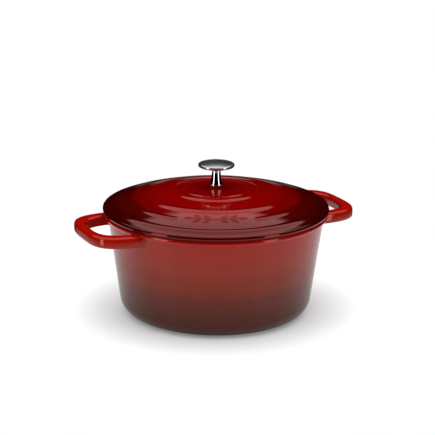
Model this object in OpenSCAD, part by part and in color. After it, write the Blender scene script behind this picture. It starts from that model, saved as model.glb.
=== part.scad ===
// Round enamelled cast iron dutch oven with a domed lid and a steel knob.
// Origin: centre of the foot ring, on the table. +Z is up, +X runs through the handles.
// Every size given below is the finished, enamelled size; the iron lies one coat inside it.

/* [Pot] */
// Height of the pot from the table to the seat of the lid
pot_h = 115.5; // [100:0.5:140]
// Radius that the outside of the wall would have at table height
wall_foot_r = 104.2; // [90:0.2:120]
// Lean of the wall from upright, in degrees
draft = 7.94; // [5:0.02:10]
// Thickness of the wall
wall_t = 4.4; // [3.6:0.1:6]
// Thickness of the floor
floor_t = 5.0; // [4:0.1:7]
// Outside radius of the corner between the floor and the wall
corner_r = 18.4; // [12:0.2:24]
// Outer radius of the bead that runs round the rim
rim_r = 123.4; // [110:0.2:140]
// Radius of the rim bead's own section
rim_bead_r = 3.3; // [2.4:0.1:3.5]
// Height of the bare foot ring under the floor
foot_h = 0.8; // [0.6:0.1:2]

/* [Handles] */
// Height of the handles' top side above the table
handle_top = 111.4; // [96:0.2:111.6]
// Thickness of the loop from top to underside
handle_t = 12.4; // [8:0.2:14]
// Reach of the bar's outer side from the pot's axis
handle_reach = 158; // [153:0.5:168]
// Half the width of the loop over its arms
handle_half_w = 52.5; // [50:0.5:62]
// Width of the bar at its middle
bar_w = 10.5; // [9:0.5:15]
// Width of each arm where it meets the pot
arm_w = 14.5; // [12:0.5:20]

/* [Lid] */
// Outer radius of the lid
lid_r = 125; // [124.5:0.1:128]
// Height of the dome's crown above the seat
dome_h = 25.3; // [20:0.1:30]
// Thickness of the lid
lid_t = 4.4; // [3.8:0.1:5]
// Radius of the lid's rounded edge
edge_r = 2.6; // [2.2:0.1:3]
// Depth of the ring under the lid that keeps it centred in the pot
locator_h = 5; // [3:0.5:8]
// Thickness of that ring
locator_w = 3.6; // [3:0.2:5]
// Play between that ring and the pot's mouth
locator_play = 0.8; // [0.5:0.1:1.5]
// Direction in which the lid's ornament faces, in degrees from +X
lid_front = -115; // [-180:1:180]

/* [Knob] */
// Radius of the knob's head
knob_r = 20; // [17:0.5:24]
// Height of the edge of the head above the crown of the lid
knob_edge_h = 25; // [24:0.2:30]
// Rise of the head's domed top above its edge
knob_rise = 4; // [3:0.1:5]
// Thickness of the knob's sealing washer
gasket_t = 0.8; // [0.5:0.1:1.5]
// Radius of the fixing screw's shank
screw_r = 2.5; // [2:0.5:2.5]

/* [Hidden] */
$fn = 120;

coat = 0.4;                                  // thickness of the fused enamel
big = 400;                                   // larger than the whole object
red = [0.62, 0.03, 0.03];
black = [0.07, 0.07, 0.08];
iron = [0.25, 0.25, 0.26];
steel = [0.80, 0.80, 0.82];

// Pot
foot_out_r = 86;
foot_in_r = 81;
inner_corner_r = 14;
function wall_x(z) = wall_foot_r + z * tan(draft);
mouth_r = wall_x(pot_h) - wall_t / cos(draft);

// Handles: the loop lies between two superellipses about a point inside the wall
handle_z = handle_top - handle_t / 2;
loop_x = 100;
loop_out = [handle_reach - loop_x, handle_half_w];
loop_in = loop_out - [bar_w, arm_w];
loop_out_power = 3.5;
loop_in_power = 3.2;
bar_power = 4.5;                             // squareness of the bar's section
loop_n = 18;                                 // steps from the middle of the bar to a root
section_n = 16;                              // points round the section

// Lid
crown_z = pot_h + dome_h;
dome_drop = dome_h - 2 * edge_r + 0.2;       // fall of the dome from the crown to the rounded edge
dome_r = ((lid_r - edge_r) ^ 2 + dome_drop ^ 2) / (2 * dome_drop);
dome_cz = crown_z - dome_r;
locator_r = mouth_r - locator_play;
boss_r = 9;
boss_h = 1.2;
boss_z = crown_z - lid_t - boss_h;
screw_hole_r = screw_r + 0.7;
// Raised rings of the lid: [radius of the ring, its width, its height]
whole_rings = [[34.5, 8.5, 0.75], [44.2, 10.5, 0.9], [73.5, 12, 0.8], [113.5, 8, 0.65]];
broken_ring = [94.5, 7, 0.55];
gap_half = 25.5;                             // half the angle of the gap in the broken ring
// Ornament: a sprig of leaf pairs along an arc that fills the gap
sprig_r = 90;
sprig_h = 0.9;
sprig_pairs = [2.8, 9.4];                    // directions of the leaf pairs, in degrees from the front
sprig_end = 14.6;                            // direction of the leaf that ends the sprig
leaf_l = 10.5;
leaf_w = 4.2;
leaf_lean = 40;                              // degrees between a leaf and the arc it grows from
leaf_gap = 0.8;                              // from the arc to the foot of a leaf
nub_r = 3.0;
nub_rings = [[28, 6], [56, 12], [84, 18]];   // dripping nubs under the lid: [radius, how many]

// Knob
edge_z = crown_z + knob_edge_h;
knob_edge_r = 2;
cap_t = 1.2;
dish_flat_r = 6.6;
stem_foot_z = crown_z + gasket_t;
stem_top_z = edge_z - 3.6;
stem_foot_r = 5;
stem_bulge_r = 7;
stem_round_r = stem_bulge_r - stem_foot_r;
stem_bulge_z = stem_foot_z + stem_round_r;
stem_waist_r = 4.9;
stem_waist_z = stem_foot_z + 16.5;
stem_flare_r = 50;                           // radius of the stem's hollow side
insert_r = 3.4;
insert_l = 12;
insert_cover = 4;                            // solid metal above the insert's bore
thread_play = 0.05;
washer_t = 1.2;
washer_r = 7;
lock_t = 1.3;
lock_r = 4.6;
screw_head_r = 4.8;
screw_head_h = 3;

// A rectangle from z0 to z1, from x0 out to x1
module slab(z0, z1, x1 = big, x0 = 0) {
    translate([x0, z0]) square([x1 - x0, z1 - z0]);
}

// Filled half section with a leaning side and one rounded bottom corner
module leaning_half(side_foot_r, bottom_z, top_z, round_r, grow) {
    cz = bottom_z + round_r;
    cx = side_foot_r + cz * tan(draft) - round_r / cos(draft);
    k = round_r + grow;
    polygon([
        [0, bottom_z - grow], [cx, bottom_z - grow],
        [cx + k * cos(draft), cz - k * sin(draft)],
        [side_foot_r + top_z * tan(draft) + grow / cos(draft), top_z],
        [0, top_z]
    ]);
    translate([cx, cz]) circle(r = k);
}

// Half section of the pot as if it were solid, drawn `inset` inside its surface
module pot_half(inset) {
    leaning_half(wall_foot_r, foot_h, pot_h - inset, corner_r, -inset);
    translate([rim_r - rim_bead_r, pot_h - rim_bead_r]) circle(r = rim_bead_r - inset);
    slab(pot_h - 2 * rim_bead_r, pot_h - inset, rim_r - rim_bead_r);
}

// Half section of the cavity, drawn `outset` into the wall and floor
module cavity_half(outset) {
    leaning_half(wall_foot_r - wall_t / cos(draft), foot_h + floor_t, pot_h + 1, inner_corner_r, outset);
}

// Point at the angle t, from -90 to 90, on a superellipse with the half axes `half`
function loop_point(half, power, t) = [
    loop_x + half.x * cos(t) ^ (2 / power),
    half.y * sign(t) * abs(sin(t)) ^ (2 / power)
];

// One ring of points round the loop at the angle t, between its inner and outer outlines
function loop_section(t, inset) =
    let (
        outer = loop_point(loop_out, loop_out_power, t),
        inner = loop_point(loop_in, loop_in_power, t),
        middle = (outer + inner) / 2,
        across = (outer - inner) / norm(outer - inner),
        half_w = norm(outer - inner) / 2 - inset,
        half_t = handle_t / 2 - inset
    )
    [for (i = [0:section_n - 1])
        let (
            a = (i + 0.5) * 360 / section_n,
            p = middle + half_w * sign(cos(a)) * abs(cos(a)) ^ (2 / bar_power) * across
        )
        [p.x, p.y, handle_z + half_t * sign(sin(a)) * abs(sin(a)) ^ (2 / bar_power)]
    ];

// A loop handle on the +X side, swept from root to root
module handle(inset) {
    rings = [for (k = [-loop_n:loop_n]) loop_section(90 * k / loop_n, inset)];
    last = len(rings) - 1;
    polyhedron(
        points = [for (ring = rings) each ring],
        faces = [
            [for (i = [section_n - 1:-1:0]) i],
            for (k = [0:last - 1], i = [0:section_n - 1])
                let (j = (i + 1) % section_n)
                [k * section_n + i, k * section_n + j, (k + 1) * section_n + j, (k + 1) * section_n + i],
            [for (i = [0:section_n - 1]) last * section_n + i]
        ]
    );
}

// Both looped handles
module handles(inset) {
    for (side = [0, 1]) mirror([side, 0, 0]) handle(inset);
}

// The pot with its handles but without its cavity
module pot_blank(inset) {
    rotate_extrude() pot_half(inset);
    handles(inset);
}

module pot_casting() color(iron) {
    difference() {
        pot_blank(coat);
        rotate_extrude() cavity_half(coat);
    }
    // The bare foot ring reaches through the enamel to the table
    rotate_extrude() translate([foot_in_r, 0]) square([foot_out_r - foot_in_r, foot_h + coat]);
}

module pot_outer_enamel() color(red) {
    difference() {
        pot_blank(0);
        pot_blank(coat);
        // the seat on top of the rim and the middle of the underside belong to other coats
        rotate_extrude() slab(pot_h - coat, pot_h + 1, rim_r - rim_bead_r);
        cylinder(r = foot_out_r, h = foot_h + 2 * coat);
    }
}

module pot_inner_enamel() color(black) {
    rotate_extrude() difference() {
        union() {
            cavity_half(coat);
            slab(pot_h - coat, pot_h + 1, rim_r - rim_bead_r);
        }
        cavity_half(0);
        slab(pot_h, pot_h + 2);
    }
}

module pot_base_enamel() color(black) {
    translate([0, 0, foot_h]) cylinder(r = foot_in_r, h = coat);
}

// Centre of the bead that makes a ring of the given [radius, width, height] on the dome
function bead_r(ring) = (ring[1] ^ 2 / 4 + ring[2] ^ 2) / (2 * ring[2]);
function bead_centre(ring) =
    let (lean = asin(ring[0] / dome_r), out = dome_r + ring[2] - bead_r(ring))
    [out * sin(lean), dome_cz + out * cos(lean)];

// Half section of the lid without its ornament, drawn `inset` inside its surface
module lid_half(inset) {
    difference() {
        union() {
            intersection() {
                translate([0, dome_cz]) circle(r = dome_r - inset);
                slab(pot_h - locator_h + inset, crown_z, lid_r - edge_r);
            }
            translate([lid_r - edge_r, pot_h + edge_r]) circle(r = edge_r - inset);
            for (ring = whole_rings) translate(bead_centre(ring)) circle(r = bead_r(ring) - inset);
        }
        // the hollow under the dome, with its mouth inside the locating ring
        intersection() {
            translate([0, dome_cz]) circle(r = dome_r - lid_t + inset);
            slab(0, crown_z, locator_r - locator_w + inset);
        }
        slab(0, pot_h - locator_h + inset);
        slab(0, pot_h + inset, big, locator_r - inset);
        // half sections end at the axis
        translate([-big, 0]) square([big, big]);
    }
}

// Everything below the middle of the lid's thickness, where the black coat takes over
module under_half() {
    intersection() {
        translate([0, dome_cz]) circle(r = dome_r - lid_t / 2);
        slab(0, crown_z);
    }
}

// Raised ring that is left open at the front
module broken_bead(inset) {
    rotate([0, 0, gap_half]) rotate_extrude(angle = 360 - 2 * gap_half) difference() {
        translate(bead_centre(broken_ring)) circle(r = bead_r(broken_ring) - inset);
        under_half();
    }
}

// A pointed leaf from the origin along +X, between two equal arcs
module leaf(inset) {
    arc_r = (leaf_l ^ 2 + leaf_w ^ 2) / (4 * leaf_w);
    intersection_for (side = [-1, 1])
        translate([leaf_l / 2, side * (arc_r - leaf_w / 2)]) circle(r = arc_r - inset);
}

// Plan of the sprig, lying across +X, which is the front of the lid
module sprig_plan(inset) {
    for (side = [0, 1]) mirror([0, side, 0]) {
        for (turn = sprig_pairs, lean = [-1, 1])
            rotate([0, 0, turn]) translate([sprig_r, 0]) rotate([0, 0, 90 + lean * leaf_lean])
                translate([leaf_gap, 0]) leaf(inset);
        rotate([0, 0, sprig_end]) translate([sprig_r, 0]) rotate([0, 0, 90]) leaf(inset);
    }
}

// The lid's ornament as a raised relief that follows the dome
module sprig(inset) {
    intersection() {
        translate([0, 0, pot_h + dome_h / 2]) linear_extrude(height = dome_h) sprig_plan(inset);
        rotate_extrude() difference() {
            intersection() {
                translate([0, dome_cz]) circle(r = dome_r + sprig_h - inset);
                slab(pot_h, crown_z, sprig_r + 2 * leaf_l, sprig_r - 2 * leaf_l);
            }
            under_half();
        }
    }
}

// Everything that stands up from the dome at the front of the lid
module front_relief(inset) {
    rotate([0, 0, lid_front]) {
        broken_bead(inset);
        sprig(inset);
    }
}

// Nubs under the dome, which drip condensed steam back into the pot
module nubs(inset) {
    under_r = dome_r - lid_t;
    for (ring = nub_rings, i = [1:ring[1]]) rotate([0, 0, i * 360 / ring[1]])
        translate([ring[0], 0, dome_cz + sqrt(under_r ^ 2 - ring[0] ^ 2)]) sphere(r = nub_r - inset);
}

module screw_hole() {
    translate([0, 0, boss_z - 5]) cylinder(r = screw_hole_r, h = lid_t + 20);
}

module boss() {
    translate([0, 0, boss_z]) cylinder(r = boss_r, h = boss_h + lid_t / 2);
}

module lid_casting() color(iron) difference() {
    union() {
        rotate_extrude() lid_half(coat);
        front_relief(coat);
        nubs(coat);
        boss();
    }
    screw_hole();
}

module lid_outer_enamel() color(red) difference() {
    union() {
        rotate_extrude() lid_half(0);
        front_relief(0);
    }
    rotate_extrude() lid_half(coat);
    rotate_extrude() under_half();
    front_relief(coat);
    screw_hole();
}

module lid_inner_enamel() color(black) difference() {
    union() {
        rotate_extrude() intersection() {
            lid_half(0);
            under_half();
        }
        nubs(0);
    }
    rotate_extrude() lid_half(coat);
    nubs(coat);
    boss();
    screw_hole();
}

// Half section of the knob's head: a shallow lens with a rounded edge
module head_half(inset) {
    rim_x = knob_r - knob_edge_r;
    top_rise = knob_rise - knob_edge_r;
    top_r = (rim_x ^ 2 + top_rise ^ 2) / (2 * top_rise);
    intersection() {
        translate([0, edge_z + knob_rise - top_r]) circle(r = top_r - inset);
        slab(edge_z, crown_z + big, rim_x);
    }
    translate([rim_x, edge_z]) circle(r = knob_edge_r - inset);
    polygon([
        [0, stem_top_z + inset], [dish_flat_r, stem_top_z + inset],
        [rim_x, edge_z - knob_edge_r + inset], [rim_x, edge_z], [0, edge_z]
    ]);
}

module knob_cap() color(steel) rotate_extrude() intersection() {
    difference() {
        head_half(0);
        head_half(cap_t);
        translate([-big, 0]) square([big, big]);
    }
    slab(edge_z, crown_z + big);
}

module knob_dish() color(steel) rotate_extrude() difference() {
    head_half(0);
    head_half(cap_t);
    slab(edge_z, crown_z + big);
    slab(0, crown_z + big, insert_r);
    translate([-big, 0]) square([big, big]);
}

module knob_stem() color(steel) rotate_extrude() difference() {
    union() {
        difference() {
            slab(stem_bulge_z, stem_top_z, stem_bulge_r);
            translate([stem_waist_r + stem_flare_r, stem_waist_z]) circle(r = stem_flare_r);
        }
        translate([stem_foot_r, stem_bulge_z]) circle(r = stem_round_r);
        slab(stem_foot_z, stem_bulge_z, stem_foot_r);
    }
    slab(stem_foot_z - 1, stem_top_z - insert_cover, insert_r);
    translate([-big, 0]) square([big, big]);
}

module knob_insert() color(iron) rotate_extrude()
    translate([screw_r + thread_play, stem_foot_z]) square([insert_r - screw_r - thread_play, insert_l]);

module knob_gasket() color(black) rotate_extrude()
    translate([screw_hole_r, crown_z]) square([stem_foot_r - screw_hole_r, gasket_t]);

module flat_washer() color(steel) translate([0, 0, boss_z - washer_t]) difference() {
    cylinder(r = washer_r, h = washer_t);
    translate([0, 0, -1]) cylinder(r = screw_r + 0.2, h = washer_t + 2);
}

// A split ring, twisted open in use and drawn pressed flat
module lock_washer() color(steel) translate([0, 0, boss_z - washer_t - lock_t]) difference() {
    cylinder(r = lock_r, h = lock_t);
    translate([0, 0, -1]) cylinder(r = screw_r + 0.2, h = lock_t + 2);
    rotate([0, 0, 40]) translate([0, -0.4, -1]) cube([lock_r + 1, 0.8, lock_t + 2]);
}

module knob_screw() color(steel) {
    head_z = boss_z - washer_t - lock_t;
    difference() {
        union() {
            translate([0, 0, head_z]) cylinder(r = screw_r, h = stem_foot_z + insert_l - 1 - head_z);
            // pan head with a rounded shoulder
            rotate_extrude() {
                slab(head_z - screw_head_h, head_z, screw_head_r - 1);
                translate([0, head_z - screw_head_h + 1]) square([screw_head_r, screw_head_h - 1]);
                translate([screw_head_r - 1, head_z - screw_head_h + 1]) circle(r = 1);
            }
        }
        // cross recess
        for (turn = [0, 90]) rotate([0, 0, turn]) translate([-2.6, -0.5, head_z - screw_head_h - 1])
            cube([5.2, 1, 2.8]);
    }
}

pot_casting();
pot_outer_enamel();
pot_inner_enamel();
pot_base_enamel();
lid_casting();
lid_outer_enamel();
lid_inner_enamel();
knob_cap();
knob_dish();
knob_stem();
knob_insert();
knob_gasket();
knob_screw();
flat_washer();
lock_washer();
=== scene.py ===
"""Looks of a round enamelled cast iron dutch oven, built around its CAD frame. Everything is in metres."""
import math

import bmesh
import bpy
import numpy as np
from mathutils import Euler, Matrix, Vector


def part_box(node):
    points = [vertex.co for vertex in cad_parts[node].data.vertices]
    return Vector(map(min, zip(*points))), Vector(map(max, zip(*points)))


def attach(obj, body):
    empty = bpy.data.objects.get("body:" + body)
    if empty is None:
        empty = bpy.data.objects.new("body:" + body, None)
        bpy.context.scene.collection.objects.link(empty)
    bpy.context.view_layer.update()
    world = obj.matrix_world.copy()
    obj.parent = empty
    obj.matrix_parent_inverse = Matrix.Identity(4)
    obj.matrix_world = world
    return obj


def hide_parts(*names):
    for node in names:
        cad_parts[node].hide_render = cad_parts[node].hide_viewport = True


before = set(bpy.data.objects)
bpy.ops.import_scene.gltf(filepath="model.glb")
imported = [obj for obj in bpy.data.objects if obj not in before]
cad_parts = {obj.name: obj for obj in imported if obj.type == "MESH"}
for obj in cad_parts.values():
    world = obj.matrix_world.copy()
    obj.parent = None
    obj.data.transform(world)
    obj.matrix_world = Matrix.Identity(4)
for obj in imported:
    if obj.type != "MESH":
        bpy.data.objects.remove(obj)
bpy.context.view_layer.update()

MM = 0.001

# ---------------------------------------------------------------- sizes, from the frame where it has them
COAT = 0.4 * MM
SEAT_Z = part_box("pot_inner_enamel")[1].z
RIM_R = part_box("pot_outer_enamel")[1].y
HANDLE_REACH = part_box("pot_outer_enamel")[1].x
CROWN_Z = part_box("lid_outer_enamel")[1].z
LID_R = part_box("lid_outer_enamel")[1].y
KNOB_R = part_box("knob_cap")[1].x
KNOB_TOP_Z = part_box("knob_cap")[1].z
KNOB_EDGE_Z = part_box("knob_cap")[0].z

# Pot
DRAFT = math.radians(7.94)
WALL_FOOT_R = 104.2 * MM
WALL_T = 4.4 * MM
FLOOR_T = 5 * MM
FOOT_H = 0.8 * MM
FOOT_IN_R = 81 * MM
FOOT_OUT_R = 86 * MM
CORNER_R = 18.4 * MM
INNER_CORNER_R = 14 * MM
BEAD_R = 3.3 * MM
BEAD_CENTRE = np.array([RIM_R - BEAD_R, SEAT_Z - BEAD_R])
BEAD_FILLET_R = 1 * MM
MOUTH_ROUND_R = 1.2 * MM
POT_STEPS = 288

# Handles: a loop between two superellipses about a point inside the wall
LOOP_X = 100 * MM
LOOP_OUT = np.array([HANDLE_REACH - LOOP_X, 52.5 * MM])
LOOP_IN = LOOP_OUT - np.array([10.5 * MM, 14.5 * MM])
LOOP_OUT_POWER = 3.5
LOOP_IN_POWER = 3.2
BAR_POWER = 4.5
HANDLE_T = 12.4 * MM
HANDLE_Z = 111.4 * MM - HANDLE_T / 2
ROOT_FILLET_R = 1.5 * MM
ROOT_TOP_FILLET_R = 1 * MM
LOOP_RINGS = 150
SECTION_POINTS = 56

# Lid
LID_FRONT = math.radians(-115)
LID_T = 4.4 * MM
EDGE_R = 2.6 * MM
EDGE_CENTRE = np.array([LID_R - EDGE_R, SEAT_Z + EDGE_R])
EDGE_START = 72                        # degrees round the edge from level, where the dome runs into it
EDGE_SPLIT = -50                       # degrees round the edge from level, where red meets black
DOME_H = CROWN_Z - SEAT_Z
DOME_DROP = DOME_H - 2 * EDGE_R + 0.2 * MM
DOME_R = ((LID_R - EDGE_R) ** 2 + DOME_DROP ** 2) / (2 * DOME_DROP)
DOME_CZ = CROWN_Z - DOME_R
DOME_END_R = LID_R - EDGE_R - 0.9 * MM  # last point of the dome before its edge
SCREW_HOLE_R = 3.2 * MM
BOSS_R = 9 * MM
BOSS_Z = CROWN_Z - LID_T - 1.2 * MM
LOCATOR_R = 115.07 * MM
LOCATOR_W = 3.6 * MM
LOCATOR_H = 5 * MM
WHOLE_RINGS = [
    (34.5 * MM, 8.5 * MM, 0.75 * MM), (44.2 * MM, 10.5 * MM, 0.9 * MM),
    (73.5 * MM, 12 * MM, 0.8 * MM), (113.5 * MM, 8 * MM, 0.65 * MM),
]
BROKEN_RING = (94.5 * MM, 7 * MM, 0.55 * MM)
GAP_HALF = math.radians(25.5)
FOOT_BLEND = 0.35 * MM                 # softness of the foot of a raised ring
SPRIG_R = 90 * MM
SPRIG_H = 0.9 * MM
SPRIG_PAIRS = [math.radians(2.8), math.radians(9.4)]
SPRIG_END = math.radians(14.6)
LEAF_L = 10.5 * MM
LEAF_W = 4.2 * MM
LEAF_LEAN = math.radians(40)
LEAF_GAP = 0.8 * MM
NUB_R = 3 * MM
NUB_RINGS = [(28 * MM, 6), (56 * MM, 12), (84 * MM, 18)]

# Knob
CAP_T = 1.2 * MM
KNOB_EDGE_R = 2 * MM
STEM_FOOT_Z = CROWN_Z + 0.8 * MM
STEM_TOP_Z = KNOB_EDGE_Z - 3.6 * MM
STEM_FOOT_R = 5 * MM
STEM_BULGE_R = 7 * MM
STEM_ROUND_R = STEM_BULGE_R - STEM_FOOT_R
STEM_BULGE_Z = STEM_FOOT_Z + STEM_ROUND_R
STEM_WAIST_R = 4.9 * MM
STEM_WAIST_Z = STEM_FOOT_Z + 16.5 * MM
STEM_FLARE_R = 50 * MM
INSERT_R = 3.4 * MM
INSERT_L = 12 * MM
INSERT_COVER = 4 * MM                  # solid metal above the insert's bore
THREAD_R = 2.5 * MM
THREAD_DEPTH = 0.4 * MM
THREAD_PITCH = 0.8 * MM
THREAD_PLAY = 0.05 * MM
SCREW_HEAD_R = 4.8 * MM
SCREW_HEAD_H = 3 * MM
CROSS_HALF_L = 2.6 * MM
CROSS_HALF_W = 0.5 * MM
CROSS_DEPTH = 1.8 * MM
CROSS_TAPER = 0.7                      # size of the recess at its bottom against its mouth
WASHER_T = 1.2 * MM
WASHER_R = 7 * MM
LOCK_T = 1.3 * MM
LOCK_R = 4.6 * MM
LOCK_RISE = 0.35 * MM                  # height between the spring washer's two ends
LOCK_HALF_GAP = 0.4 * MM
KNOB_STEPS = 128


# ---------------------------------------------------------------- outlines in a half section (radius, height)
def arc(centre, radius, start, end, steps):
    """Points along an arc, ends included; the angles are in degrees from the radius direction."""
    a = np.radians(np.linspace(start, end, steps + 1))
    return np.column_stack([centre[0] + radius * np.cos(a), centre[1] + radius * np.sin(a)])


def line(start, end, steps):
    """Points along a straight stretch, ends included."""
    t = np.linspace(0, 1, steps + 1)[:, None]
    return (1 - t) * np.array(start) + t * np.array(end)


def join(*runs):
    """One outline out of several runs of points, without the doubled points where they meet."""
    points = np.vstack(runs)
    gaps = np.linalg.norm(np.diff(points, axis=0), axis=1)
    return points[np.concatenate([[True], gaps > 0.001 * MM])]


def rounded(corners, steps=6):
    """A polyline through corners of (radius, height, rounding), with each inner corner rounded off."""
    runs = [[corners[0][:2]]]
    for before, corner, after in zip(corners, corners[1:], corners[2:]):
        p = np.array(corner[:2])
        back = np.array(before[:2]) - p
        ahead = np.array(after[:2]) - p
        turn = math.pi - math.acos(np.dot(back, ahead) / np.linalg.norm(back) / np.linalg.norm(ahead))
        reach = corner[2] * math.tan(turn / 2)
        a = p + back / np.linalg.norm(back) * reach
        b = p + ahead / np.linalg.norm(ahead) * reach
        t = np.linspace(0, 1, steps + 1)[:, None]
        runs.append((1 - t) ** 2 * a + 2 * t * (1 - t) * p + t ** 2 * b)
    runs.append([corners[-1][:2]])
    return join(*runs)


def offset(points, distance):
    """The outline moved to the right of its own direction."""
    along = np.gradient(points, axis=0)
    along /= np.linalg.norm(along, axis=1)[:, None]
    moved = points + distance * np.column_stack([along[:, 1], -along[:, 0]])
    moved[:, 0] = np.where(points[:, 0] < 0.001 * MM, 0, np.maximum(moved[:, 0], 0))
    return moved


def shell(points, thickness):
    """A closed outline: the visible side, and the hidden side that lies to its right."""
    return np.vstack([points, offset(points, thickness)[::-1]])


def wall_x(z):
    return WALL_FOOT_R + z * math.tan(DRAFT)


def dome_z(r, depth=0.0):
    """Height of the lid's dome at a radius, `depth` below its surface."""
    return DOME_CZ + np.sqrt((DOME_R - depth) ** 2 - r ** 2)


def bead_fillet_centre():
    """Centre of the hollow fillet between the wall and the rim bead."""
    z = BEAD_CENTRE[1] - BEAD_R
    for _ in range(8):
        x = wall_x(z) + BEAD_FILLET_R / math.cos(DRAFT)
        z = BEAD_CENTRE[1] - math.sqrt((BEAD_R + BEAD_FILLET_R) ** 2 - (x - BEAD_CENTRE[0]) ** 2)
    return np.array([x, z])


def leaning_corner(foot_r, bottom_z, round_r):
    """Centre of the rounded corner between a flat floor and a leaning wall."""
    z = bottom_z + round_r
    return np.array([foot_r + z * math.tan(DRAFT) - round_r / math.cos(DRAFT), z])


def pot_outside():
    """Outside of the pot from the foot ring to the top of the rim."""
    corner = leaning_corner(WALL_FOOT_R, FOOT_H, CORNER_R)
    fillet = bead_fillet_centre()
    to_bead = BEAD_CENTRE - fillet
    meet = math.degrees(math.atan2(to_bead[1], to_bead[0]))
    lean = math.degrees(DRAFT)
    low = arc(corner, CORNER_R, -90, -lean, 24)
    hollow = arc(fillet, BEAD_FILLET_R, 180 - lean, meet, 8)
    return join(
        line((FOOT_OUT_R, FOOT_H), (corner[0], FOOT_H), 2),
        low,
        line(low[-1], hollow[0], 40),
        hollow,
        arc(BEAD_CENTRE, BEAD_R, meet - 180, 90, 24),
    )


def pot_inside():
    """Inside of the pot from the middle of the floor, over the mouth and out along the seat."""
    floor_z = FOOT_H + FLOOR_T
    foot_r = WALL_FOOT_R - WALL_T / math.cos(DRAFT)
    corner = leaning_corner(foot_r, floor_z, INNER_CORNER_R)
    low = arc(corner, INNER_CORNER_R, -90, -math.degrees(DRAFT), 20)
    mouth_r = foot_r + SEAT_Z * math.tan(DRAFT)
    mouth = rounded([(*low[-1], 0), (mouth_r, SEAT_Z, MOUTH_ROUND_R), (BEAD_CENTRE[0], SEAT_Z, 0)])
    return join(line((0, floor_z), (corner[0], floor_z), 24), low, line(low[-1], mouth[1], 30), mouth[1:])


def pot_iron():
    """The bare casting: both coats' hidden sides, and the foot ring that reaches the table."""
    base_z = FOOT_H + COAT
    edge = 0.3 * MM
    foot = rounded([
        (0, base_z, 0), (FOOT_IN_R, base_z, edge), (FOOT_IN_R, 0, edge),
        (FOOT_OUT_R, 0, edge), (FOOT_OUT_R, FOOT_H, 0),
    ])
    return join(foot, offset(pot_outside(), -COAT)[1:], offset(pot_inside(), COAT)[::-1])


def lid_top(radii):
    """Radii and heights of the lid's plain dome and its rounded edge down to the black coat."""
    edge = arc(EDGE_CENTRE, EDGE_R, EDGE_START, EDGE_SPLIT, 16)
    return join(np.column_stack([radii, dome_z(radii)]), edge)


def lid_underside():
    """Underside of the lid from its edge, round the locating ring, to the boss."""
    ring_in_r = LOCATOR_R - LOCATOR_W
    ring_z = SEAT_Z - LOCATOR_H
    blend_r = ring_in_r - 7 * MM
    edge = arc(EDGE_CENTRE, EDGE_R, EDGE_SPLIT, -90, 12)
    ring = rounded([
        (EDGE_CENTRE[0], SEAT_Z, 0),
        (LOCATOR_R, SEAT_Z, 0.8 * MM),
        (LOCATOR_R, ring_z, 1.2 * MM),
        (ring_in_r, ring_z, 1.2 * MM),
        (ring_in_r, dome_z(ring_in_r, LID_T), 4 * MM),
        (blend_r, dome_z(blend_r, LID_T), 0),
    ], steps=8)
    radii = np.linspace(blend_r, BOSS_R, 60)
    return join(edge, ring, np.column_stack([radii, dome_z(radii, LID_T)]))


# ---------------------------------------------------------------- meshes
class Form:
    """Points and faces gathered for one piece."""

    def __init__(self):
        self.points = []
        self.faces = []

    def add(self, points, faces):
        first = len(self.points)
        self.points.extend(map(tuple, points))
        self.faces.extend(tuple(first + i for i in face) for face in faces)

    def add_tube(self, rings, closed):
        """Rings in order; `closed` joins the last ring to the first, or else both ends are capped."""
        rows, cols = rings.shape[:2]
        faces = []
        for k in range(rows if closed else rows - 1):
            a, b = k * cols, (k + 1) % rows * cols
            faces += [(a + i, b + i, b + (i + 1) % cols, a + (i + 1) % cols) for i in range(cols)]
        if not closed:
            faces += [tuple(range(cols)), tuple(range((rows - 1) * cols, rows * cols))]
        self.add(rings.reshape(-1, 3), faces)

    def add_lathe(self, outline, steps, centre=(0, 0, 0)):
        """A turned solid; the outline is closed, or has both its ends on the axis."""
        on_axis = outline[0][0] < 0.001 * MM and outline[-1][0] < 0.001 * MM
        if not on_axis:
            self.add_tube(spun(outline, steps) + np.array(centre), closed=True)
            return
        rings = spun(outline[1:-1], steps)
        cols = len(outline) - 2
        faces = []
        bottom, top = steps * cols, steps * cols + 1
        for k in range(steps):
            a, b = k * cols, (k + 1) % steps * cols
            faces += [(a + i, b + i, b + i + 1, a + i + 1) for i in range(cols - 1)]
            faces += [(bottom, b, a), (top, a + cols - 1, b + cols - 1)]
        ends = [(0, 0, outline[0][1]), (0, 0, outline[-1][1])]
        self.add(np.vstack([rings.reshape(-1, 3), ends]) + np.array(centre), faces)

    def piece(self, name, body, slot, material, nodes):
        """The finished Blender object, riding on its body in place of its CAD nodes."""
        mesh = bpy.data.meshes.new(name)
        mesh.from_pydata(self.points, [], self.faces)
        work = bmesh.new()
        work.from_mesh(mesh)
        bmesh.ops.recalc_face_normals(work, faces=work.faces)
        work.to_mesh(mesh)
        work.free()
        mesh.shade_smooth()
        mesh.materials.append(material)
        made = bpy.data.objects.new(name, mesh)
        bpy.context.scene.collection.objects.link(made)
        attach(made, body)
        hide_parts(*nodes)
        return made


def spun(outline, steps):
    """The outline at each of `steps` turns about the axis."""
    a = np.arange(steps) * 2 * math.pi / steps
    r = outline[:, 0][None, :]
    z = np.broadcast_to(outline[:, 1], (steps, len(outline)))
    return np.stack([r * np.cos(a)[:, None], r * np.sin(a)[:, None], z], axis=2)


def lathe_piece(name, body, slot, material, outline, steps, nodes):
    form = Form()
    form.add_lathe(outline, steps)
    return form.piece(name, body, slot, material, nodes)


# ---------------------------------------------------------------- handles
def loop_point(half, power, t):
    """Points of a superellipse at the angles t, from -90 to 90 degrees."""
    u = np.cos(t) ** (2 / power)
    v = np.sign(t) * np.abs(np.sin(t)) ** (2 / power)
    return np.column_stack([LOOP_X + half[0] * u, half[1] * v])


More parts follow.
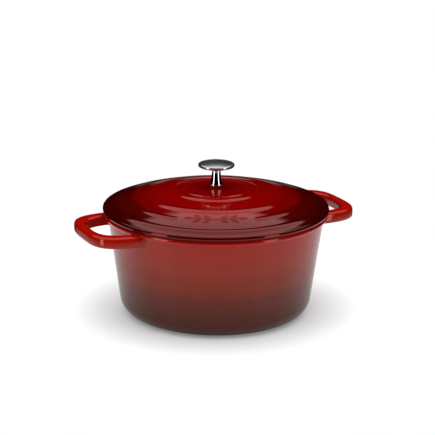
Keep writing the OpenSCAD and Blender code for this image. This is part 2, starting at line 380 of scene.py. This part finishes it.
def squircle(power, count):
    """Points round a unit superellipse, evenly spaced along it."""
    a = np.linspace(0, 2 * math.pi, 4001)
    p = np.column_stack([f(a) for f in (np.cos, np.sin)])
    p = np.sign(p) * np.abs(p) ** (2 / power)
    length = np.concatenate([[0], np.cumsum(np.linalg.norm(np.diff(p, axis=0), axis=1))])
    even = np.arange(count) * length[-1] / count
    return np.column_stack([np.interp(even, length, p[:, 0]), np.interp(even, length, p[:, 1])])


def handle_surface(inset):
    """Rings of points along the right handle, each line running from mid wall to mid wall."""
    t = np.linspace(-math.pi / 2, math.pi / 2, 4001)
    outer = loop_point(LOOP_OUT, LOOP_OUT_POWER, t)
    inner = loop_point(LOOP_IN, LOOP_IN_POWER, t)
    middle = (outer + inner) / 2
    half_w = np.linalg.norm(outer - inner, axis=1) / 2
    across = (outer - inner) / (2 * half_w)[:, None]
    lines = []
    for u, v in squircle(BAR_POWER, SECTION_POINTS):
        plan = middle + ((half_w - inset) * u)[:, None] * across
        z = HANDLE_Z + (HANDLE_T / 2 - inset) * v
        outside = np.flatnonzero(np.hypot(plan[:, 0], plan[:, 1]) > wall_x(z) - WALL_T / 2)
        run = plan[outside[0]:outside[-1] + 1]
        length = np.concatenate([[0], np.cumsum(np.linalg.norm(np.diff(run, axis=0), axis=1))])
        even = np.linspace(0, length[-1], LOOP_RINGS)
        xy = [np.interp(even, length, run[:, i]) for i in (0, 1)]
        lines.append(np.column_stack([*xy, np.full(LOOP_RINGS, z)]))
    return np.stack(lines, axis=1)


def with_root_fillet(rings):
    """The handle's rings with their surface flared out where it runs into the pot's wall."""
    along = np.gradient(rings, axis=0)
    around = np.roll(rings, -1, axis=1) - np.roll(rings, 1, axis=1)
    normal = np.cross(around, along)
    normal /= np.linalg.norm(normal, axis=2)[..., None]
    from_middle = rings - rings.mean(axis=1, keepdims=True)
    normal *= np.sign((normal * from_middle).sum(axis=2))[..., None]
    r = np.hypot(rings[..., 0], rings[..., 1])
    wall = np.stack([rings[..., 0] / r * math.cos(DRAFT), rings[..., 1] / r * math.cos(DRAFT)], axis=2)
    wall = np.concatenate([wall, np.full(r.shape + (1,), -math.sin(DRAFT))], axis=2)
    along_wall = normal - (normal * wall).sum(axis=2)[..., None] * wall
    along_wall /= np.maximum(np.linalg.norm(along_wall, axis=2), 0.2)[..., None]
    up = np.clip(along_wall[..., 2], 0, 1)
    radius = ROOT_FILLET_R + (ROOT_TOP_FILLET_R - ROOT_FILLET_R) * up
    gap = np.clip((r - wall_x(rings[..., 2])) * math.cos(DRAFT), 0, radius)
    flare = radius - np.sqrt(radius ** 2 - (radius - gap) ** 2)
    return rings + flare[..., None] * along_wall


def add_handles(form, inset):
    """Both looped handles, one the mirror image of the other."""
    rings = with_root_fillet(handle_surface(inset))
    for side in (1, -1):
        form.add_tube(rings * np.array([side, 1, 1]), closed=False)


# ---------------------------------------------------------------- lid relief
def ridge(across, width, height):
    """Height of a raised ring with a circular section, `across` from its middle line."""
    radius = (width ** 2 / 4 + height ** 2) / (2 * height)
    raw = np.sqrt(np.maximum(radius ** 2 - across ** 2, 0)) - (radius - height)
    mix = np.clip(0.5 + 0.5 * raw / FOOT_BLEND, 0, 1)
    return mix * raw + FOOT_BLEND * mix * (1 - mix)


def leaf_height(x, y, foot_turn, lean):
    """Relief of one leaf that grows from the sprig's arc at the angle foot_turn."""
    c, s = math.cos(foot_turn), math.sin(foot_turn)
    dx, dy = x - SPRIG_R * c, y - SPRIG_R * s
    heading = foot_turn + math.pi / 2 + lean
    along = dx * math.cos(heading) + dy * math.sin(heading) - LEAF_GAP
    aside = dy * math.cos(heading) - dx * math.sin(heading)
    radius = (LEAF_L ** 2 + LEAF_W ** 2) / (4 * LEAF_W)
    inside = radius - np.hypot(along - LEAF_L / 2, np.abs(aside) + radius - LEAF_W / 2)
    share = np.clip(inside / (LEAF_W / 2), 0, 1)
    vein = 0.3 * np.exp(-(aside / (0.3 * MM)) ** 2) * np.clip(3 * share, 0, 1)
    return SPRIG_H * (np.sqrt(1 - (1 - share) ** 2) - vein)


def sprig_height(x, y):
    """Relief of the leaf sprig; +X is the lid's front."""
    height = np.zeros_like(x)
    for side in (1, -1):
        for turn in SPRIG_PAIRS:
            for lean in (-LEAF_LEAN, LEAF_LEAN):
                height = np.maximum(height, leaf_height(x, side * y, turn, lean))
        height = np.maximum(height, leaf_height(x, side * y, SPRIG_END, 0))
    past_end = np.maximum(np.abs(np.arctan2(y, x)) - SPRIG_END, 0) * SPRIG_R
    twig = ridge(np.hypot(np.hypot(x, y) - SPRIG_R, past_end), 1.6 * MM, 0.55 * MM)
    return np.maximum(height, twig)


def lid_relief(r, turn):
    """Height of everything that stands up from the dome, `turn` away from the lid's front."""
    height = sum(ridge(r - radius, width, rise) for radius, width, rise in WHOLE_RINGS)
    radius, width, rise = BROKEN_RING
    into_gap = np.maximum(GAP_HALF + width / 2 / radius - np.abs(turn), 0) * radius
    height = height + ridge(np.hypot(r - radius, into_gap), width, rise)
    return height + sprig_height(r * np.cos(turn), r * np.sin(turn))


def lid_outer_form():
    """The lid's red coat, finely divided where the ornament is."""
    detail = math.radians(30)
    turns = np.concatenate([
        np.linspace(-detail, detail, 400, endpoint=False),
        np.linspace(detail, 2 * math.pi - detail, 216, endpoint=False),
    ])
    radii = np.linspace(SCREW_HOLE_R, DOME_END_R, 330)
    top = lid_top(radii)
    relief = lid_relief(top[None, :, 0], np.where(turns > math.pi, turns - 2 * math.pi, turns)[:, None])
    relief[:, len(radii):] = 0
    hidden = offset(lid_top(np.linspace(SCREW_HOLE_R, DOME_END_R, 30)), COAT)[::-1]
    r = np.concatenate([top[:, 0], hidden[:, 0]])
    z = np.concatenate([top[:, 1] + relief, np.broadcast_to(hidden[:, 1], (len(turns), len(hidden)))], axis=1)
    a = (turns + LID_FRONT)[:, None]
    form = Form()
    form.add_tube(np.stack([r * np.cos(a), r * np.sin(a), z], axis=2), closed=True)
    return form


def lid_inner_form():
    """The lid's black coat with the nubs that let condensed steam drip back into the pot."""
    form = Form()
    form.add_lathe(shell(lid_underside(), COAT), POT_STEPS)
    nub = rounded([
        (0, 0.5 * MM, 0), (NUB_R + 0.8 * MM, 0.2 * MM, 0.1 * MM), (NUB_R, -0.7 * MM, 1.2 * MM),
        (0.86 * NUB_R, -2.2 * MM, 1.4 * MM), (0.5 * NUB_R, -NUB_R, 0.8 * MM), (0, -NUB_R, 0),
    ])
    for radius, count in NUB_RINGS:
        for i in range(count):
            a = (i + 1) * 2 * math.pi / count
            place = (radius * math.cos(a), radius * math.sin(a), dome_z(radius, LID_T))
            form.add_lathe(nub, 24, place)
    return form


def lid_iron():
    """Section of the lid's casting, with the bare boss round the screw."""
    top = offset(lid_top(np.linspace(SCREW_HOLE_R, DOME_END_R, 60)), COAT)
    boss = [(BOSS_R, BOSS_Z), (SCREW_HOLE_R, BOSS_Z)]
    return join(top, offset(lid_underside(), COAT), boss)


# ---------------------------------------------------------------- knob sections
def knob_top():
    """Top of the knob's head from its middle to the middle of its edge."""
    rim_x = KNOB_R - KNOB_EDGE_R
    rise = KNOB_TOP_Z - KNOB_EDGE_Z - KNOB_EDGE_R
    radius = (rim_x ** 2 + rise ** 2) / (2 * rise)
    slope = math.degrees(math.asin(rim_x / radius))
    dome = arc((0, KNOB_TOP_Z - radius), radius, 90, 90 - 0.98 * slope, 30)
    return join(dome, arc((rim_x, KNOB_EDGE_Z), KNOB_EDGE_R, 90 - slope, 0, 12))


def knob_under():
    """Underside of the knob's head from the middle of its edge to the stem."""
    rim_x = KNOB_R - KNOB_EDGE_R
    edge = arc((rim_x, KNOB_EDGE_Z), KNOB_EDGE_R, 0, -80, 12)
    hollow = rounded([(*edge[-1], 0), (10 * MM, STEM_TOP_Z + 0.3 * MM, 6 * MM), (INSERT_R, STEM_TOP_Z, 0)])
    return join(edge, hollow)


def stem_section():
    """The stem: a hollow-sided column on a rounded foot, bored for its insert."""
    flare_centre = np.array([STEM_WAIST_R + STEM_FLARE_R, STEM_WAIST_Z])
    bulge_centre = np.array([STEM_FOOT_R, STEM_BULGE_Z])
    gap = flare_centre - bulge_centre
    meet = math.degrees(math.atan2(gap[1], gap[0]))
    top = math.degrees(math.asin((STEM_TOP_Z - STEM_WAIST_Z) / STEM_FLARE_R))
    return join(
        [(0, STEM_TOP_Z)],
        arc(flare_centre, STEM_FLARE_R, 180 - top, 180 + meet, 40),
        arc(bulge_centre, STEM_ROUND_R, meet, -90, 20),
        [(INSERT_R, STEM_FOOT_Z), (INSERT_R, STEM_TOP_Z - INSERT_COVER), (0, STEM_TOP_Z - INSERT_COVER)],
    )


def ring_section(r_in, r_out, z_low, z_high, round_r):
    """A closed rectangle with rounded corners."""
    mid = (z_low + z_high) / 2
    return rounded([
        (r_in, mid, 0), (r_in, z_low, round_r), (r_out, z_low, round_r),
        (r_out, z_high, round_r), (r_in, z_high, round_r), (r_in, mid - 0.01 * MM, 0),
    ], steps=4)[:-1]


def screw_form():
    """The fixing screw: a pan head and a cut thread; its cross recess is cut afterwards."""
    form = Form()
    head_z = BOSS_Z - WASHER_T - LOCK_T
    low = head_z - SCREW_HEAD_H
    top = STEM_FOOT_Z + INSERT_L - 1 * MM
    steps = 48
    z = np.concatenate([np.arange(head_z - 0.6 * MM, top - 0.5 * MM, THREAD_PITCH / 8), [top]])
    turn = np.arange(steps)[:, None] / steps
    wave = np.abs(((z[None, :] / THREAD_PITCH - turn) % 1) * 2 - 1)
    r = THREAD_R - THREAD_DEPTH * np.clip(1.25 * wave, 0, 1)
    r[:, -1] = THREAD_R - THREAD_DEPTH
    a = turn * 2 * math.pi
    rings = np.stack([r * np.cos(a), r * np.sin(a), np.broadcast_to(z, r.shape)], axis=2)
    form.add_tube(rings.transpose(1, 0, 2), closed=False)
    head = rounded([
        (0, low, 0), (SCREW_HEAD_R, low, 1 * MM), (SCREW_HEAD_R, head_z, 0.3 * MM), (0, head_z, 0),
    ])
    form.add_lathe(head, steps)
    return form


def cut_cross(piece):
    """Cuts the cross recess into the screw's head."""
    low = BOSS_Z - WASHER_T - LOCK_T - SCREW_HEAD_H
    work = bmesh.new()
    for half_x, half_y in ((CROSS_HALF_L, CROSS_HALF_W), (CROSS_HALF_W, CROSS_HALF_L)):
        made = bmesh.ops.create_cube(work, size=2)["verts"]
        for v in made:
            taper = CROSS_TAPER if v.co.z > 0 else 1
            v.co = Vector((v.co.x * half_x * taper, v.co.y * half_y * taper, low + v.co.z * CROSS_DEPTH))
    mesh = bpy.data.meshes.new("cross_cutter")
    work.to_mesh(mesh)
    work.free()
    cutter = bpy.data.objects.new("cross_cutter", mesh)
    bpy.context.scene.collection.objects.link(cutter)
    cut = piece.modifiers.new("cross", "BOOLEAN")
    cut.operation = "DIFFERENCE"
    cut.solver = "EXACT"
    cut.use_self = True
    cut.object = cutter
    seen = piece.evaluated_get(bpy.context.evaluated_depsgraph_get())
    result = bpy.data.meshes.new_from_object(seen)
    piece.modifiers.clear()
    piece.data = result
    bpy.data.objects.remove(cutter)


def lock_washer_form():
    """A split spring washer whose two ends stand slightly apart."""
    form = Form()
    r_in, r_out = THREAD_R + 0.2 * MM, LOCK_R
    low = BOSS_Z - WASHER_T - LOCK_T
    section = ring_section(r_in, r_out, 0, LOCK_T - LOCK_RISE, 0.15 * MM)
    gap = LOCK_HALF_GAP / r_in
    a = np.linspace(gap, 2 * math.pi - gap, 97) + math.radians(40)
    lift = np.linspace(0, LOCK_RISE, len(a))
    r, z = section[:, 0][None, :], section[:, 1][None, :]
    rings = np.stack([r * np.cos(a)[:, None], r * np.sin(a)[:, None], low + lift[:, None] + z], axis=2)
    form.add_tube(rings, closed=False)
    return form


# ---------------------------------------------------------------- materials
class Nodes:
    """A node tree, with short calls for the nodes that materials and the world share."""

    def __init__(self, tree):
        self.tree = tree

    def node(self, kind, **settings):
        made = self.tree.nodes.new(kind)
        for key, value in settings.items():
            setattr(made, key, value)
        return made

    def put(self, socket, value):
        """Sets a socket to a value, or links it to an output."""
        if isinstance(value, bpy.types.NodeSocket):
            self.tree.links.new(value, socket)
        else:
            socket.default_value = value

    def math(self, operation, a, b=0.0, c=0.0):
        made = self.node("ShaderNodeMath", operation=operation)
        for socket, value in zip(made.inputs, (a, b, c)):
            self.put(socket, value)
        return made.outputs["Value"]

    def spread(self, value, low, high, to_low=0.0, to_high=1.0):
        """Maps a value from one range to another, without going past its ends."""
        made = self.node("ShaderNodeMapRange", clamp=True)
        for socket, number in zip(made.inputs, (value, low, high, to_low, to_high)):
            self.put(socket, number)
        return made.outputs["Result"]

    def mix(self, share, a, b, blend="MIX"):
        made = self.node("ShaderNodeMix", data_type="RGBA", blend_type=blend)
        self.put(made.inputs["Factor"], share)
        self.put(made.inputs["A"], a if isinstance(a, bpy.types.NodeSocket) else (*a, 1))
        self.put(made.inputs["B"], b if isinstance(b, bpy.types.NodeSocket) else (*b, 1))
        return made.outputs["Result"]


class Shader(Nodes):
    """A material, with short calls for its textures."""

    def __init__(self, name):
        self.material = bpy.data.materials.new(name)
        self.material.use_nodes = True
        super().__init__(self.material.node_tree)
        self.surface = self.tree.nodes["Principled BSDF"]
        self.place = self.node("ShaderNodeTexCoord").outputs["Object"]

    def set(self, **values):
        """Sets inputs of the Principled shader; underscores stand for spaces."""
        for key, value in values.items():
            self.put(self.surface.inputs[key.replace("_", " ")], value)

    def noise(self, scale, detail=2.0, roughness=0.5, stretch=None):
        made = self.node("ShaderNodeTexNoise")
        place = self.place
        if stretch:
            mapping = self.node("ShaderNodeMapping")
            self.put(mapping.inputs["Vector"], place)
            mapping.inputs["Scale"].default_value = stretch
            place = mapping.outputs["Vector"]
        self.put(made.inputs["Vector"], place)
        made.inputs["Scale"].default_value = scale
        made.inputs["Detail"].default_value = detail
        made.inputs["Roughness"].default_value = roughness
        return made.outputs["Fac"]

    def cells(self, scale):
        made = self.node("ShaderNodeTexVoronoi")
        self.put(made.inputs["Vector"], self.place)
        made.inputs["Scale"].default_value = scale
        return made.outputs["Distance"]

    def axis(self, name):
        split = self.node("ShaderNodeSeparateXYZ")
        self.put(split.inputs["Vector"], self.place)
        return split.outputs[name]

    def radius(self):
        """Distance from the object's upright axis."""
        flat = self.node("ShaderNodeVectorMath", operation="MULTIPLY")
        self.put(flat.inputs[0], self.place)
        flat.inputs[1].default_value = (1, 1, 0)
        length = self.node("ShaderNodeVectorMath", operation="LENGTH")
        self.put(length.inputs[0], flat.outputs["Vector"])
        return length.outputs["Value"]

    def ramp(self, value, stops):
        """Colours along a value from 0 to 1; each stop is (place, colour)."""
        made = self.node("ShaderNodeValToRGB")
        made.color_ramp.interpolation = "EASE"
        bar = made.color_ramp.elements
        while len(bar) < len(stops):
            bar.new(0.5)
        for element, (place, colour) in zip(bar, stops):
            element.position = place
            element.color = (*colour, 1)
        self.put(made.inputs["Fac"], value)
        return made.outputs["Color"]

    def bump(self, *layers):
        """Stacks bump layers of (height, distance in metres)."""
        normal = None
        for height, distance in layers:
            made = self.node("ShaderNodeBump")
            self.put(made.inputs["Height"], height)
            made.inputs["Distance"].default_value = distance
            if normal:
                self.put(made.inputs["Normal"], normal)
            normal = made.outputs["Normal"]
        self.put(self.surface.inputs["Normal"], normal)


def grey(level):
    return (level, level, level)


def red_enamel(name, position, stops, ior, glint):
    """Glossy red enamel whose shade follows `position`, sprayed on a slightly uneven casting."""
    s = Shader(name)
    drift = s.math("MULTIPLY_ADD", s.noise(38, 3), 0.06, -0.03)
    shade = s.ramp(s.math("ADD", position(s), drift), stops)
    mottle = s.spread(s.noise(150, 4, 0.6), 0.3, 0.7, 0.95, 1.04)
    grain = s.spread(s.noise(1700, 2), 0.35, 0.7, 0.96, 1.03)
    tone = s.node("ShaderNodeHueSaturation")
    s.put(tone.inputs["Value"], s.math("MULTIPLY", mottle, grain))
    s.put(tone.inputs["Color"], shade)
    speck = s.spread(s.cells(420), 0.05, 0.09, 0.35, 0)
    s.set(Base_Color=s.mix(speck, tone.outputs["Color"], (0.02, 0.003, 0.003)))
    s.set(IOR=ior, Specular_Tint=glint)
    s.set(Roughness=s.spread(s.noise(60, 4), 0.3, 0.75, 0.035, 0.085))
    s.bump((s.noise(55, 1), 0.06 * MM), (s.noise(420, 2), 0.009 * MM), (s.noise(1500, 1), 0.0015 * MM))
    return s.material


def black_enamel(name):
    """Satin black enamel with a fine pebble and painted glints: pale grey dots in its colour."""
    s = Shader(name)
    base = s.ramp(s.noise(90, 4), [(0.3, grey(0.012)), (0.7, grey(0.024))])
    # painted glint: pale grey dots mixed into the black base colour
    painted_glint = s.spread(s.cells(1500), 0.02, 0.12, 1, 0)
    s.set(Base_Color=s.mix(s.math("MULTIPLY", painted_glint, 0.25), base, grey(0.09)), IOR=1.5)
    s.set(Roughness=s.spread(s.noise(300, 3), 0.3, 0.7, 0.26, 0.42))
    s.bump((s.noise(120, 2), 0.06 * MM), (s.noise(1300, 3), 0.03 * MM))
    return s.material


def bare_iron(name):
    """Shot blasted casting, ground bright with circular scratches where it meets the table."""
    s = Shader(name)
    base = s.ramp(s.noise(220, 5, 0.65), [(0.3, (0.035, 0.034, 0.034)), (0.7, (0.085, 0.08, 0.078))])
    rust = s.spread(s.noise(75, 4, 0.6), 0.6, 0.72, 0, 0.35)
    base = s.mix(rust, base, (0.11, 0.05, 0.03))
    ground = s.spread(s.axis("Z"), 0.05 * MM, 0.25 * MM, 1, 0)
    scratch = s.math("SINE", s.math("MULTIPLY", s.radius(), 21000))
    s.set(Base_Color=s.mix(ground, base, grey(0.3)), Metallic=s.spread(ground, 0, 1, 0.3, 1))
    s.set(Roughness=s.spread(s.noise(400, 3), 0.3, 0.7, 0.5, 0.72))
    s.bump((s.noise(700, 4, 0.7), 0.06 * MM), (s.math("MULTIPLY", scratch, ground), 0.006 * MM))
    return s.material


def polished_steel(name, level, rough_low, rough_high):
    """Turned and polished stainless steel with faint smears."""
    s = Shader(name)
    tint = s.ramp(s.noise(130, 3), [(0.3, grey(level)), (0.7, grey(level * 1.05))])
    lines = s.math("SINE", s.math("MULTIPLY", s.radius(), 26000))
    s.set(Base_Color=tint, Metallic=1.0)
    s.set(Roughness=s.spread(s.noise(260, 4, 0.6), 0.3, 0.7, rough_low, rough_high))
    s.bump((lines, 0.0003 * MM), (s.noise(900, 2), 0.0005 * MM))
    return s.material


def plain_steel(name):
    """Zinc-grey stainless fastener steel with tumbled edges."""
    s = Shader(name)
    tint = s.ramp(s.noise(500, 4), [(0.3, (0.42, 0.42, 0.43)), (0.7, (0.56, 0.56, 0.57))])
    s.set(Base_Color=tint, Metallic=1.0)
    s.set(Roughness=s.spread(s.noise(900, 3), 0.3, 0.7, 0.28, 0.46))
    s.bump((s.noise(2200, 3), 0.01 * MM))
    return s.material


def gasket_rubber(name):
    """Dull black silicone with a dusty bloom."""
    s = Shader(name)
    base = s.ramp(s.noise(800, 4), [(0.3, grey(0.012)), (0.75, grey(0.035))])
    s.set(Base_Color=base, Sheen_Weight=0.2)
    s.set(Roughness=s.spread(s.noise(1200, 2), 0.3, 0.7, 0.55, 0.75))
    s.bump((s.noise(1600, 3), 0.015 * MM))
    return s.material


# Shades of the red enamel, from the dark maroon that is sprayed over its edges
POT_SHADES = [
    (0.0, (0.029, 0.006, 0.003)),
    (0.2, (0.047, 0.008, 0.003)),
    (0.35, (0.081, 0.01, 0.003)),
    (0.52, (0.159, 0.013, 0.003)),
    (0.7, (0.231, 0.015, 0.003)),
    (0.87, (0.276, 0.01, 0.002)),
    (1.0, (0.338, 0.002, 0.001)),
]
LID_SHADES = [
    (0.0, (0.20, 0.0003, 0.0003)),
    (0.5, (0.205, 0.0003, 0.0003)),
    (0.68, (0.15, 0.0003, 0.0003)),
    (0.78, (0.062, 0.0004, 0.0004)),
    (1.0, (0.03, 0.0004, 0.0004)),
]
# Strength and colour of the red glass's gloss
POT_IOR = 1.6
LID_IOR = 2.0
POT_GLINT = (1, 0.52, 0.48, 1)
LID_GLINT = (1, 0.12, 0.1, 1)


# ---------------------------------------------------------------- the pieces
def share_of_height(s):
    """Place between the foot and the rim, from 0 to 1."""
    return s.spread(s.axis("Z"), 0, SEAT_Z)


def share_of_radius(s):
    """Place between the middle of the lid and its edge, from 0 to 1."""
    return s.spread(s.radius(), 0, LID_R)


def make_pot():
    red = red_enamel("red_enamel_pot", share_of_height, POT_SHADES, POT_IOR, POT_GLINT)
    black = black_enamel("black_enamel_pot")
    iron = bare_iron("bare_iron_pot")

    skin = Form()
    skin.add_lathe(shell(pot_outside(), -COAT), POT_STEPS)
    add_handles(skin, 0)
    skin.piece("pot_outer_coat", "pot", "red_enamel", red, ["pot_outer_enamel"])

    core = Form()
    core.add_lathe(pot_iron(), POT_STEPS)
    add_handles(core, COAT)
    core.piece("pot_iron", "pot", "cast_iron", iron, ["pot_casting"])

    inside = shell(pot_inside(), COAT)
    lathe_piece("pot_inner_coat", "pot", "black_enamel", black, inside, POT_STEPS, ["pot_inner_enamel"])
    base = rounded([
        (0, FOOT_H, 0), (FOOT_IN_R, FOOT_H, 0.15 * MM), (FOOT_IN_R, FOOT_H + COAT, 0.1 * MM),
        (0, FOOT_H + COAT, 0),
    ])
    lathe_piece("pot_base_coat", "pot", "black_enamel", black, base, POT_STEPS, ["pot_base_enamel"])


def make_lid():
    red = red_enamel("red_enamel_lid", share_of_radius, LID_SHADES, LID_IOR, LID_GLINT)
    black = black_enamel("black_enamel_lid")
    iron = bare_iron("bare_iron_lid")
    lid_outer_form().piece("lid_outer_coat", "lid", "red_enamel", red, ["lid_outer_enamel"])
    lid_inner_form().piece("lid_inner_coat", "lid", "black_enamel", black, ["lid_inner_enamel"])
    lathe_piece("lid_iron", "lid", "cast_iron", iron, lid_iron(), POT_STEPS, ["lid_casting"])


def make_knob():
    satin = polished_steel("satin_steel", 0.72, 0.2, 0.26)
    mirror = polished_steel("mirror_steel", 0.74, 0.05, 0.11)
    plain = plain_steel("plain_steel")
    rubber = gasket_rubber("gasket_rubber")

    def turned(name, slot, material, outline, node):
        return lathe_piece(name, "knob", slot, material, outline, KNOB_STEPS, [node])

    turned("knob_head_top", "polished_steel", satin, shell(knob_top(), CAP_T), "knob_cap")
    turned("knob_head_under", "polished_steel", mirror, shell(knob_under(), CAP_T), "knob_dish")
    turned("knob_column", "polished_steel", mirror, stem_section(), "knob_stem")
    insert = ring_section(THREAD_R + THREAD_PLAY, INSERT_R, STEM_FOOT_Z, STEM_FOOT_Z + INSERT_L, 0.2 * MM)
    turned("thread_insert", "plain_steel", plain, insert, "knob_insert")
    seal = ring_section(SCREW_HOLE_R, STEM_FOOT_R, CROWN_Z, STEM_FOOT_Z, 0.3 * MM)
    turned("sealing_washer", "gasket_rubber", rubber, seal, "knob_gasket")
    washer = ring_section(THREAD_R + 0.2 * MM, WASHER_R, BOSS_Z - WASHER_T, BOSS_Z, 0.25 * MM)
    turned("plain_washer", "plain_steel", plain, washer, "flat_washer")
    lock_washer_form().piece("spring_washer", "knob", "plain_steel", plain, ["lock_washer"])
    screw = screw_form().piece("fixing_screw", "knob", "plain_steel", plain, ["knob_screw"])
    cut_cross(screw)


# ---------------------------------------------------------------- studio
VIEW_TURN = math.radians(65)           # horizontal direction in which the camera looks, from +X
CAMERA_DISTANCE = 1.6762
CAMERA_HEIGHT = 0.5971
CAMERA_PITCH = math.radians(16.34)
CAMERA_ROLL = math.radians(0.525)
FLOOR_R = 0.36
SOFTBOX_LIGHT = 2.25                   # strength of the overhead light on matt surfaces; mirrored, it is 1
BELOW_LIGHT = 0.9                      # strength of the pale zone under the horizon on matt surfaces
BELOW_MIRRORED = 0.6                   # and as glossy surfaces mirror it
BEHIND_MIRRORED = 0.3                  # strength of the faint band behind the pot, which is only mirrored
FLOOR_MIRRORED = 0.2                   # share of the floor's own glow that glossy surfaces mirror
SIDE_TURN = math.radians(55)           # how far the side lights stand to each side of the camera
SIDE_DISTANCE = 1.3
SIDE_HEIGHT = 0.2


def make_camera():
    data = bpy.data.cameras.new("camera")
    data.sensor_width = 36
    data.lens = 130.5
    data.shift_x = 0.0037
    data.clip_start = 0.05
    camera = bpy.data.objects.new("camera", data)
    away = Vector((math.cos(VIEW_TURN), math.sin(VIEW_TURN), 0))
    camera.location = -CAMERA_DISTANCE * away + Vector((0, 0, CAMERA_HEIGHT))
    aim = Euler((math.pi / 2 - CAMERA_PITCH, 0, VIEW_TURN - math.pi / 2)).to_matrix()
    camera.rotation_euler = (aim @ Euler((0, 0, CAMERA_ROLL)).to_matrix()).to_euler()
    bpy.context.scene.collection.objects.link(camera)
    bpy.context.scene.camera = camera


def make_floor():
    """A round pale floor, small enough that the lid hardly mirrors it, with a painted shadow round the pot's
    foot.
    """
    turns = np.arange(128) * 2 * math.pi / 128
    edge = [(FLOOR_R * math.cos(a), FLOOR_R * math.sin(a), 0) for a in turns]
    mesh = bpy.data.meshes.new("floor")
    mesh.from_pydata(edge, [], [range(len(edge))])
    floor = bpy.data.objects.new("floor", mesh)
    bpy.context.scene.collection.objects.link(floor)
    s = Shader("pale_floor")
    s.set(Base_Color=s.ramp(s.noise(3, 2), [(0.3, grey(0.59)), (0.7, grey(0.61))]), Roughness=0.4)
    glossy = s.node("ShaderNodeLightPath").outputs["Is Glossy Ray"]
    # painted shadow: the floor glows less near the pot's foot and more further out
    glow_and_painted_shadow = s.spread(s.radius(), 0.1, 0.17, 0.2, 0.46)
    glow_and_painted_shadow = s.math("MULTIPLY", glow_and_painted_shadow, s.spread(glossy, 0, 1, 1, FLOOR_MIRRORED))
    s.set(Emission_Color=(1, 1, 1, 1), Emission_Strength=glow_and_painted_shadow)
    mesh.materials.append(s.material)


def height_at(degrees):
    """Height on the unit sphere of directions, at an angle over the horizon."""
    return math.sin(math.radians(degrees))


def make_world():
    """Neutral light: wide and soft overhead, dark round the horizon, pale below it.

    The overhead light ends before the camera. A faint band lies low behind the pot. Matt surfaces,
    glossy surfaces and the camera each see this at a strength of their own.
    """
    world = bpy.data.worlds.new("studio")
    world.use_nodes = True
    bpy.context.scene.world = world
    w = Nodes(world.node_tree)
    split = w.node("ShaderNodeSeparateXYZ")
    w.put(split.inputs["Vector"], w.node("ShaderNodeTexCoord").outputs["Generated"])
    x, y, z = split.outputs
    away = w.math("MULTIPLY_ADD", x, math.cos(VIEW_TURN), w.math("MULTIPLY", y, math.sin(VIEW_TURN)))
    aside = w.math("MULTIPLY_ADD", x, -math.sin(VIEW_TURN), w.math("MULTIPLY", y, math.cos(VIEW_TURN)))
    far = w.spread(away, 0.7, 0.82)

    overhead = w.spread(z, height_at(35.5), height_at(38.5))
    beyond_camera = w.spread(w.math("MULTIPLY_ADD", z, 0.55, away), -0.1, 0.15)
    below = w.spread(z, height_at(-19), height_at(-14), 1, 0)
    below_mirrored = w.spread(far, 0, 1, BELOW_MIRRORED, 0)
    behind = w.math("MULTIPLY", far, w.spread(w.math("ABSOLUTE", aside), 0.06, 0.11, 1, 0))
    behind = w.math("MULTIPLY", behind, w.spread(z, height_at(-2), 0, 1, 0))
    band = w.spread(z, height_at(-9), height_at(-3), 0, BEHIND_MIRRORED)

    mirrored = w.math("MULTIPLY", overhead, beyond_camera)
    mirrored = w.math("MULTIPLY_ADD", below, below_mirrored, mirrored)
    mirrored = w.math("MULTIPLY_ADD", behind, band, mirrored)
    lighting = w.math("MULTIPLY", overhead, SOFTBOX_LIGHT)
    lighting = w.math("MULTIPLY_ADD", below, BELOW_LIGHT, lighting)

    path = w.node("ShaderNodeLightPath")
    strength = w.spread(path.outputs["Is Glossy Ray"], 0, 1, lighting, mirrored)
    strength = w.spread(path.outputs["Is Camera Ray"], 0, 1, strength, 1)
    background = w.tree.nodes["Background"]
    background.inputs["Color"].default_value = (1, 1, 1, 1)
    w.put(background.inputs["Strength"], strength)


def make_side_light(name, side, power):
    """A tall soft light that stands to one side of the camera and faces the pot."""
    data = bpy.data.lights.new(name, "AREA")
    data.shape = "RECTANGLE"
    data.size = 0.35
    data.size_y = 1.1
    data.energy = power
    light = bpy.data.objects.new(name, data)
    heading = VIEW_TURN + math.pi + side * SIDE_TURN
    outward = Vector((math.cos(heading), math.sin(heading), 0))
    light.location = SIDE_DISTANCE * outward + Vector((0, 0, SIDE_HEIGHT))
    to_pot = Vector((0, 0, 0.1)) - light.location
    light.rotation_euler = to_pot.to_track_quat("-Z", "Y").to_euler()
    bpy.context.scene.collection.objects.link(light)


make_pot()
make_lid()
make_knob()
make_camera()
make_floor()
make_world()
make_side_light("left_light", -1, 4)
make_side_light("right_light", 1, 3.5)
bpy.context.scene.view_settings.view_transform = "Standard"
